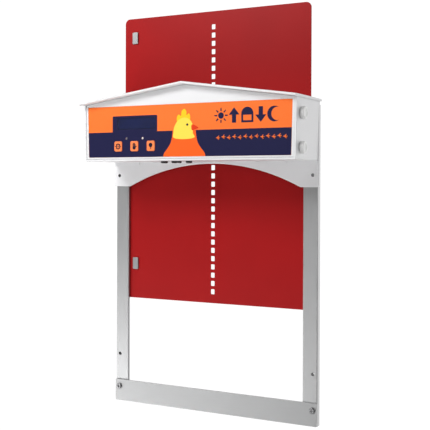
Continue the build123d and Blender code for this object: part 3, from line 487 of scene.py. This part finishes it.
def dress_nodes():
    """Give every CAD node its own metal or else the material of its slot."""
    for row in frame["record"]["subparts"]:
        node = row["node"]
        material = NODE_METAL.get(node) or MATERIALS[row["material_slot"]]
        mesh = frame["nodes"][node].data
        mesh.materials.clear()
        mesh.materials.append(material)


# ------------------------------------------------------------ the printed label
# Places on the label are in millimetres from its centre line and its bottom edge.
LABEL_LOW, LABEL_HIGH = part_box("panel_label")
LAYER = 0.06 * MM
NAVY_LINE = 32.6             # where navy gives way to orange, above the label's bottom edge
FIELD_CORNER_R = 1.0
FIELD_INSET = 0.05           # of the navy fields from the label's edge
LABEL_TAPER = 1.5            # how much narrower each half of the label is at its bottom edge
TAB_TOP = 53.4               # the navy tab round the display
TAB_CORNER_R = 1.6
TAB_PAST_WINDOW_LEFT = 6.3
TAB_PAST_WINDOW_RIGHT = 2.2
WINDOW_LAP = 0.5             # of the print over the window's edge
WINDOW_CORNER_R = 1.2
KEY_GAP = 0.3                # between the print and each key
KEY_CORNER_R = 2.5
KEY_FLANGE = 1.1             # how far the flange behind the label reaches past the key's face
KEYS = ("settings_button", "manual_button", "light_button")


def on_label(points):
    """Outline points given in mm from the label's centre line and bottom edge, as row coordinates."""
    return [(x * MM, LABEL_LOW[2] + z * MM) for x, z in points]


def print_layer(name, loops, level, color_material):
    """One printed layer of the label; higher levels lie in front."""
    front = LABEL_LOW[1] - level * LAYER
    placed = [on_label(loop) for loop in loops]
    return flat_plate(name, placed, front, LAYER, color_material, "frame")


def body_edge(side):
    """The chick's flank, from the label's bottom edge up to the navy line."""
    flank = [(30.5, 0.05), (28.6, 5.0), (24.0, 10.5), (19.6, 17.0), (17.4, 25.0), (16.6, NAVY_LINE)]
    return [(side * x, z) for x, z in smooth(flank)]


def navy_fields():
    """The two navy fields, left with a tab round the display, right plain."""
    half_top = (LABEL_HIGH[0] - LABEL_LOW[0]) / 2 / MM
    half_low = half_top - LABEL_TAPER
    half_line = half_low + LABEL_TAPER * NAVY_LINE / ((LABEL_HIGH[2] - LABEL_LOW[2]) / MM)
    corner = half_low - FIELD_CORNER_R
    corner_r = FIELD_CORNER_R - FIELD_INSET
    window_low, window_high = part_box("display_window")
    tab_left = window_low[0] / MM - TAB_PAST_WINDOW_LEFT
    tab_right = window_high[0] / MM + TAB_PAST_WINDOW_RIGHT
    tab_corner_z = TAB_TOP - TAB_CORNER_R
    left = arc(-corner, FIELD_CORNER_R, corner_r, 180, 270, 5) + body_edge(-1)
    left += [(tab_right, NAVY_LINE)]
    left += arc(tab_right - TAB_CORNER_R, tab_corner_z, TAB_CORNER_R, 0, 90, 6)
    left += arc(tab_left + TAB_CORNER_R, tab_corner_z, TAB_CORNER_R, 90, 180, 6)
    left += [(tab_left, NAVY_LINE), (-half_line + FIELD_INSET, NAVY_LINE)]
    right = arc(corner, FIELD_CORNER_R, corner_r, 270, 360, 5)
    right += [(half_line - FIELD_INSET, NAVY_LINE)] + list(reversed(body_edge(1)))
    return left, right


def key_face(key):
    """The centre and half sizes of a key's face, in label millimetres."""
    low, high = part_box(key)
    x = (low[0] + high[0]) / 2 / MM
    z = ((low[2] + high[2]) / 2 - LABEL_LOW[2]) / MM
    return x, z, (high[0] - low[0]) / 2 / MM - KEY_FLANGE, (high[2] - low[2]) / 2 / MM - KEY_FLANGE


def label_holes():
    """Outlines of the print's openings for the window, the keys and the status lights."""
    base = LABEL_LOW[2]
    low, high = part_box("display_window")
    holes = [rounded_rect(low[0] / MM + WINDOW_LAP, high[0] / MM - WINDOW_LAP,
                          (low[2] - base) / MM + WINDOW_LAP, (high[2] - base) / MM - WINDOW_LAP,
                          WINDOW_CORNER_R)]
    for key in KEYS:
        x, z, half_x, half_z = key_face(key)
        reach_x = half_x + KEY_GAP
        reach_z = half_z + KEY_GAP
        holes.append(rounded_rect(x - reach_x, x + reach_x, z - reach_z, z + reach_z, KEY_CORNER_R))
    led_low, led_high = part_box("status_leds")
    radius = (led_high[2] - led_low[2]) / 2 / MM
    z = ((led_low[2] + led_high[2]) / 2 - base) / MM
    for x in (led_low[0] / MM + radius, led_high[0] / MM - radius):
        holes.append(circle(x, z, radius, 24))
    return holes


def chick_outline():
    """A plain chick's head in profile, looking right."""
    return smooth([(-14.6, 23.4), (-15.4, 30.0), (-13.8, 38.0), (-8.6, 45.2), (-0.6, 48.6), (7.2, 46.4),
                   (11.8, 40.6), (12.8, 35.0), (12.6, 29.0), (14.6, 23.4), (0.0, 21.6)], 6, closed=True)


def comb_outline():
    """A low comb of three round lobes along the top of the head."""
    return smooth([(-8.4, 43.0), (-10.6, 48.4), (-8.0, 52.6), (-4.6, 50.8), (-3.6, 56.4), (0.2, 59.4),
                   (3.2, 56.0), (3.4, 51.6), (6.8, 53.6), (8.6, 49.8), (6.6, 44.0)], 6, closed=True)


def beak_outline():
    """A short pointed beak at the front of the head."""
    return smooth([(11.2, 39.6), (15.4, 38.6), (20.4, 35.4),
                   (15.6, 33.4), (11.4, 32.4), (10.4, 36.0)], 6, closed=True)


def turned(r, w, angle):
    """The point r along and w to the left of a ray at an angle in radians."""
    return r * math.cos(angle) - w * math.sin(angle), r * math.sin(angle) + w * math.cos(angle)


def footprint(size):
    """A three-toed bird's print pointing right: three toes ahead and one short toe behind."""
    outline = []
    for angle, length in ((180, 0.55), (-52, 0.9), (0, 1.0), (52, 0.9)):
        for offset, reach in ((-0.15, 0.22), (-0.09, length), (0.09, length), (0.15, 0.22)):
            outline.append(turned(reach, offset, math.radians(angle)))
    return [(x * size, z * size) for x, z in outline]


def sun_loops(size):
    """A disc with eight rays."""
    loops = [circle(0, 0, 0.42, 32)]
    for i in range(8):
        ray = [(0.58, -0.10), (1.0, -0.07), (1.0, 0.07), (0.58, 0.10)]
        loops.append([turned(r, w, math.pi / 4 * i) for r, w in ray])
    return enlarge(loops, size)


def moon_loops(size):
    """A crescent."""
    outer = arc(0, 0, 1.0, 55, 305, 28)
    inner = arc(0.42, 0, 0.86, 288, 72, 24)
    return enlarge([outer + inner], size)


def arrow_loops(size, way):
    """A bold arrow, up or down."""
    points = [(-0.30, -1.0), (0.30, -1.0), (0.30, 0.05), (0.78, 0.05),
              (0.0, 1.0), (-0.78, 0.05), (-0.30, 0.05)]
    return enlarge([[(x, way * z) for x, z in points]], size)


def doorway_loops(size):
    """An arched doorway whose door is half raised."""
    arch = arc(0, 0.15, 0.86, 0, 180, 18)[1:]
    outer = [(-0.86, -1.0), (0.86, -1.0), (0.86, 0.15)] + arch + [(-0.86, 0.15)]
    inner = [(-0.60, -0.74), (0.60, -0.74), (0.60, -0.02), (-0.60, -0.02)]
    return enlarge([outer, inner], size)


def pictograms(navy):
    """Five plain signs on the orange field: day, up, doorway, down and night."""
    size = 9.3
    middle = 49.4
    first = 51.8
    pitch = 17.8
    signs = {"sign_day": sun_loops(size),
             "sign_up": arrow_loops(size, 1),
             "sign_doorway": doorway_loops(size),
             "sign_down": arrow_loops(size, -1),
             "sign_night": moon_loops(size)}
    for i, (name, loops) in enumerate(signs.items()):
        print_layer(name, [move(loop, first + i * pitch, middle) for loop in loops], 2, navy)


def footprint_row(orange):
    """A row of bird prints on the navy field, stepping up and down a little."""
    size = 3.5
    middle = 22.8
    first = 47.0
    pitch = 7.45
    sway = 0.5
    for i in range(13):
        height = middle + (sway if i % 2 else -sway)
        print_layer(f"bird_print_{i:02d}", [move(footprint(size), first + i * pitch, height)], 2, orange)


def printed_label():
    """All printed layers of the label."""
    navy = printed("label_navy", NAVY)
    left, right = navy_fields()
    print_layer("navy_field_left", [left] + label_holes(), 1, navy)
    print_layer("navy_field_right", [right], 1, navy)
    breast = body_edge(1) + list(reversed(body_edge(-1)))
    print_layer("chick_breast", [breast], 1, printed("label_breast", BREAST_ORANGE))
    print_layer("chick_comb", [comb_outline()], 2, printed("label_tuft", TUFT_YELLOW))
    print_layer("chick_head", [chick_outline()], 3, printed("label_yellow", YELLOW))
    print_layer("chick_beak", [beak_outline()], 4, printed("label_beak", BEAK_ORANGE))
    print_layer("chick_eye", [circle(4.6, 39.6, 1.5, 24)], 4, printed("label_black", ICON_NAVY))
    pictograms(navy)
    footprint_row(MATERIALS["label_print"])


# ------------------------------------------------------------ key symbols
GEAR_SIZE = 4.4
HAND_SIZE = 4.2
BULB_SIZE = 4.2


def gear_loops(size):
    """A cog with a ring inside it."""
    teeth = 8
    points = []
    for i in range(teeth):
        middle = 360 / teeth * i
        for offset, reach in ((-13, 0.74), (-8, 1.0), (8, 1.0), (13, 0.74)):
            points.append(turned(reach, 0.0, math.radians(middle + offset)))
    return enlarge([points, circle(0, 0, 0.44, 28), circle(0, 0, 0.22, 20)], size)


def hand_loops(size):
    """An open hand: a palm, four fingers and a thumb."""
    finger_r = 0.11
    outline = [(-0.42, -1.0), (0.40, -1.0), (0.62, -0.45), (0.98, 0.02), (0.86, 0.18), (0.50, -0.12)]
    for centre, top in ((0.40, 0.62), (0.13, 0.86), (-0.14, 0.92), (-0.41, 0.72)):
        outline.append((centre + finger_r, -0.02))
        outline += arc(centre, top, finger_r, 0, 180, 6)
        outline.append((centre - finger_r, -0.02))
    outline.append((-0.56, -0.5))
    return enlarge([outline], size)


def bulb_loops(size):
    """A lamp bulb over two threads of its cap."""
    globe = arc(0, 0.28, 0.66, -50, 230, 28) + [(-0.24, -0.50), (0.24, -0.50)]
    threads = [rounded_rect(-0.26, 0.26, z, z + 0.14, 0.05) for z in (-0.74, -0.98)]
    return enlarge([globe] + threads, size)


def key_symbols():
    """The dark symbol on each key, moving with the key."""
    dark = printed("symbol_navy", ICON_NAVY)
    symbols = (gear_loops(GEAR_SIZE), hand_loops(HAND_SIZE), bulb_loops(BULB_SIZE))
    bodies = ("settings_key", "manual_key", "light_key")
    for key, body, loops in zip(KEYS, bodies, symbols):
        x, z, _, _ = key_face(key)
        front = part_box(key)[0][1] - 0.5 * LAYER
        placed = [on_label(move(loop, x, z)) for loop in loops]
        flat_plate(key.replace("button", "symbol"), placed, front, LAYER, dark, body)


# ------------------------------------------------------------ thumb screws
THUMB_HEAD = 5.6 * MM
THUMB_STEM_R = 2.0 * MM
THUMB_SKIRT = 0.8 * MM       # the plain stretch behind the flutes, and the one in front of them
FLUTE_COUNT = 20
FLUTE_DEPTH = 0.022


def thumb_profile(depth, radius):
    """A grip from the stem's end to its dished face, as (height, radius); the face lies at height 0."""
    stem = [(-depth, 0.8 * THUMB_STEM_R), (-depth + 0.4 * MM, THUMB_STEM_R),
            (-THUMB_HEAD - 0.01 * MM, THUMB_STEM_R)]
    neck = [(-THUMB_HEAD, 0.72), (-THUMB_HEAD + 0.7 * MM, 0.74), (-THUMB_HEAD + THUMB_SKIRT, 0.93)]
    side = [(-THUMB_HEAD + 1.2 * MM, 1.0), (-1.9 * MM, 1.0), (-1.1 * MM, 0.975)]
    rim = [(-0.45 * MM, 0.92), (-0.1 * MM, 0.85), (0.0, 0.78), (-0.05 * MM, 0.70)]
    dish = [(-0.45 * MM, 0.60), (-0.75 * MM, 0.45), (-0.9 * MM, 0.25), (-0.95 * MM, 0.08)]
    return stem + [(height, factor * radius) for height, factor in neck + side + rim + dish]


def flutes(height, angle):
    """The radius factor that cuts the flutes into the head's side."""
    if -THUMB_HEAD + THUMB_SKIRT <= height <= -THUMB_SKIRT:
        return 1.0 - FLUTE_DEPTH * (0.5 + 0.5 * math.cos(FLUTE_COUNT * angle)) ** 2
    return 1.0


def thumb_grips():
    """Fluted heads with a shallow dished face, in place of the plain CAD heads."""
    for side, side_name in ((-1, "left"), (1, "right")):
        facing = Matrix.Rotation(math.radians(90 * side), 4, "Y")
        for level in ("upper", "lower"):
            node = f"thumb_screw_{side_name}_{level}"
            low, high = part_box(node)
            radius = (high[2] - low[2]) / 2
            face = high[0] if side > 0 else low[0]
            centre = Vector((face, (low[1] + high[1]) / 2, (low[2] + high[2]) / 2))
            profile = thumb_profile(high[0] - low[0], radius)
            grip = lathe(node + "_grip", profile, 120, MATERIALS["thumb_plastic"], node,
                         Matrix.Translation(centre) @ facing, flutes)
            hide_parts(node)


# ------------------------------------------------------------ display
BORDER_GAP = 0.1 * MM        # between the border and the window's edge
BORDER_SIDE = 1.6 * MM       # the border's inner edge, in from the window's edge
BORDER_TOP = 1.4 * MM
BORDER_LIFT = 0.2 * MM       # in front of the display
BORDER_THICKNESS = 0.15 * MM


def display_details():
    """A dark border round the display's lit area, behind the window."""
    (x0, _, z0), (x1, _, z1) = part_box("display_window")
    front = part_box("lcd_module")[0][1] - BORDER_LIFT
    outer = rounded_rect(x0 + BORDER_GAP, x1 - BORDER_GAP, z0 + BORDER_GAP, z1 - BORDER_GAP, 1.0 * MM)
    inner = rounded_rect(x0 + BORDER_SIDE, x1 - BORDER_SIDE, z0 + BORDER_TOP, z1 - BORDER_TOP, 0.5 * MM)
    border = printed("display_border", WINDOW_NAVY, 0.2)
    flat_plate("display_border", [outer, inner], front, BORDER_THICKNESS, border, "frame")


# ------------------------------------------------------------ status lights
LENS_FIT = 0.97              # the lens against the lamp it replaces
LENS_DOME = [(0.0, 1.0), (0.94, 1.0), (0.965, 0.93), (0.985, 0.75), (1.0, 0.35), (1.0, 0.05)]


def status_lenses():
    """Two domed lenses in place of the plain lamps: the left one dark, the right one milky."""
    low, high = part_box("status_leds")
    radius = (high[2] - low[2]) / 2
    depth = high[1] - low[1]
    z = (low[2] + high[2]) / 2
    facing = Matrix.Rotation(math.radians(90), 4, "X")
    profile = [(height * depth, factor * radius * LENS_FIT) for height, factor in LENS_DOME]
    smoky = glossy("lens_smoky", SMOKY_LENS, 0.2)
    milky = glossy("lens_milky", MILKY_LENS, 0.25)
    for name, x, material in (("left", low[0] + radius, smoky), ("right", high[0] - radius, milky)):
        lens = lathe(f"status_lens_{name}", profile, 32, material, "frame",
                     Matrix.Translation((x, high[1], z)) @ facing)
        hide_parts("status_leds")


# ------------------------------------------------------------ stage
FLOOR_DROP = 0.35            # below the object's lowest point
FLOOR_HUB = 0.02             # radius of the disc's middle face
FLOOR_RADIUS = 1.3
FLOOR_RINGS = 24
FLOOR_SEGMENTS = 96
FADE_START = 0.35
FADE_END = 1.15


def fade_out(shader):
    """Let the floor fade into the pale surroundings some way out from the object."""
    nodes, links = shader.nodes, shader.links
    flat = nodes.new("ShaderNodeVectorMath")
    flat.operation = "MULTIPLY"
    flat.inputs[1].default_value = (1, 1, 0)
    distance = nodes.new("ShaderNodeVectorMath")
    distance.operation = "LENGTH"
    reach = nodes.new("ShaderNodeMapRange")
    reach.interpolation_type = "SMOOTHSTEP"
    reach.inputs["From Min"].default_value = FADE_START
    reach.inputs["From Max"].default_value = FADE_END
    clear = nodes.new("ShaderNodeBsdfTransparent")
    mix = nodes.new("ShaderNodeMixShader")
    links.new(shader.place, flat.inputs[0])
    links.new(flat.outputs["Vector"], distance.inputs[0])
    links.new(distance.outputs["Value"], reach.inputs["Value"])
    links.new(reach.outputs["Result"], mix.inputs["Fac"])
    links.new(shader.surface.outputs["BSDF"], mix.inputs[1])
    links.new(clear.outputs["BSDF"], mix.inputs[2])
    links.new(mix.outputs["Shader"], nodes["Material Output"].inputs["Surface"])


def floor_mesh(height):
    """A level disc, as rings of faces round a middle face."""
    bm = bmesh.new()
    rings = []
    for i in range(FLOOR_RINGS + 1):
        radius = FLOOR_HUB + (FLOOR_RADIUS - FLOOR_HUB) * i / FLOOR_RINGS
        angles = [2 * math.pi * j / FLOOR_SEGMENTS for j in range(FLOOR_SEGMENTS)]
        rings.append([bm.verts.new((radius * math.cos(a), radius * math.sin(a), height)) for a in angles])
    for inside, outside in zip(rings, rings[1:]):
        for j in range(FLOOR_SEGMENTS):
            k = (j + 1) % FLOOR_SEGMENTS
            bm.faces.new((inside[j], outside[j], outside[k], inside[k]))
    bm.faces.new(rings[0])
    mesh = bpy.data.meshes.new("floor")
    bm.to_mesh(mesh)
    bm.free()
    return mesh


def stage():
    """A pale floor that runs out to the pale surroundings."""
    mesh = floor_mesh(CAD_BOX[0][2] - FLOOR_DROP)
    floor = bpy.data.objects.new("floor", mesh)
    bpy.context.scene.collection.objects.link(floor)
    shader = Shader("floor_pale", FLOOR_PALE, 0.9)
    shader.set(Specular_IOR_Level=0.1)
    shader.bump(shader.noise(3.0, 3.0), 0.1, 0.2)
    fade_out(shader)
    mesh.materials.append(shader.material)


# ------------------------------------------------------------ lights
PAPER_STRENGTH = 1.7         # of the bright paper behind the object, as a light
ROOM_STRENGTH = 0.20         # of the room on all other sides, as a light
SEEN_STRENGTH = 1.05         # of both, as the camera sees them
LIGHT_AIM = (0, 0, 0.05)
SOFTBOXES = {                # place, size in metres and power in watts
    "key_high_front": ((-0.45, -0.95, 0.9), 0.5, 11.6),
    "key_far_left": ((-1.5, -1.0, 1.0), 0.8, 2.5),
    "low_side": ((-0.9, -0.5, -0.4), 0.5, 2.4),
    "low_left": ((-0.75, -0.85, -0.75), 0.6, 4.8),
    "low_front": ((-0.75, -1.7, -0.75), 0.9, 4.2),
    "right_front": ((0.95, -1.5, 0.35), 0.6, 2.6),
    "right_rim": ((1.2, -0.12, 0.2), 0.5, 1.9),
}


def soft_light(name, place, size, power):
    """A square softbox aimed at the object, out of the camera's sight."""
    data = bpy.data.lights.new(name, "AREA")
    data.shape = "SQUARE"
    data.size = size
    data.energy = power
    light = bpy.data.objects.new(name, data)
    bpy.context.scene.collection.objects.link(light)
    light.location = place
    light.visible_camera = False
    light.rotation_euler = (Vector(LIGHT_AIM) - Vector(place)).to_track_quat("-Z", "Y").to_euler()


def paper_light(nodes, links):
    """The strength of the surroundings as a light: the room's, and the paper's towards +Y."""
    direction = nodes.new("ShaderNodeTexCoord")
    behind = nodes.new("ShaderNodeVectorMath")
    behind.operation = "DOT_PRODUCT"
    behind.inputs[1].default_value = (0, 1, 0)
    positive = nodes.new("ShaderNodeMath")
    positive.operation = "MAXIMUM"
    positive.inputs[1].default_value = 0.0
    squared = nodes.new("ShaderNodeMath")
    squared.operation = "POWER"
    squared.inputs[1].default_value = 2.0
    strength = nodes.new("ShaderNodeMath")
    strength.operation = "MULTIPLY_ADD"
    strength.inputs[1].default_value = PAPER_STRENGTH
    strength.inputs[2].default_value = ROOM_STRENGTH
    links.new(direction.outputs["Generated"], behind.inputs[0])
    links.new(behind.outputs["Value"], positive.inputs[0])
    links.new(positive.outputs["Value"], squared.inputs[0])
    links.new(squared.outputs["Value"], strength.inputs[0])
    return strength.outputs["Value"]


def surroundings():
    """White all round as seen; as a light, a bright paper behind the object and a dim room elsewhere."""
    world = bpy.data.worlds.new("studio")
    bpy.context.scene.world = world
    world.use_nodes = True
    nodes, links = world.node_tree.nodes, world.node_tree.links
    room = nodes["Background"]
    room.inputs["Color"].default_value = PAPER_WHITE
    links.new(paper_light(nodes, links), room.inputs["Strength"])
    seen = nodes.new("ShaderNodeBackground")
    seen.inputs["Color"].default_value = PAPER_WHITE
    seen.inputs["Strength"].default_value = SEEN_STRENGTH
    path = nodes.new("ShaderNodeLightPath")
    mix = nodes.new("ShaderNodeMixShader")
    links.new(path.outputs["Is Camera Ray"], mix.inputs["Fac"])
    links.new(room.outputs["Background"], mix.inputs[1])
    links.new(seen.outputs["Background"], mix.inputs[2])
    links.new(mix.outputs["Shader"], nodes["World Output"].inputs["Surface"])


def lights():
    """The surroundings and the softboxes, which stand mostly on the left."""
    surroundings()
    for name, (place, size, power) in SOFTBOXES.items():
        soft_light(name, place, size, power)


# ------------------------------------------------------------ camera
# The main view shows the whole door from the front right, level with the top of the doorway.
VIEW_AZIMUTH = math.radians(27.642)
VIEW_ELEVATION = math.radians(0.367)
VIEW_ROLL = math.radians(0.188)
VIEW_DISTANCE = 1.16907
VIEW_TARGET = Vector((0.00099, 0.0, 0.10515))
LENS_MM = 73.49
SENSOR_MM = 36.0
VIEW_SHIFT = -0.0582
CLIP_NEAR = 0.01
CLIP_FAR = 50.0


def camera():
    """The camera of the main view."""
    data = bpy.data.cameras.new("view")
    data.sensor_width = SENSOR_MM
    data.lens = LENS_MM
    data.shift_y = VIEW_SHIFT
    data.clip_start = CLIP_NEAR
    data.clip_end = CLIP_FAR
    obj = bpy.data.objects.new("view", data)
    bpy.context.scene.collection.objects.link(obj)
    level = math.cos(VIEW_ELEVATION)
    back = Vector((math.sin(VIEW_AZIMUTH) * level, -math.cos(VIEW_AZIMUTH) * level, math.sin(VIEW_ELEVATION)))
    place = Matrix.Translation(VIEW_TARGET + back * VIEW_DISTANCE)
    aim = (-back).to_track_quat("-Z", "Y").to_matrix().to_4x4()
    obj.matrix_world = place @ aim @ Matrix.Rotation(VIEW_ROLL, 4, "Z")
    bpy.context.scene.camera = obj


camera()
dress_nodes()
printed_label()
key_symbols()
thumb_grips()
display_details()
status_lenses()
stage()
lights()
bpy.context.scene.view_settings.view_transform = "Standard"
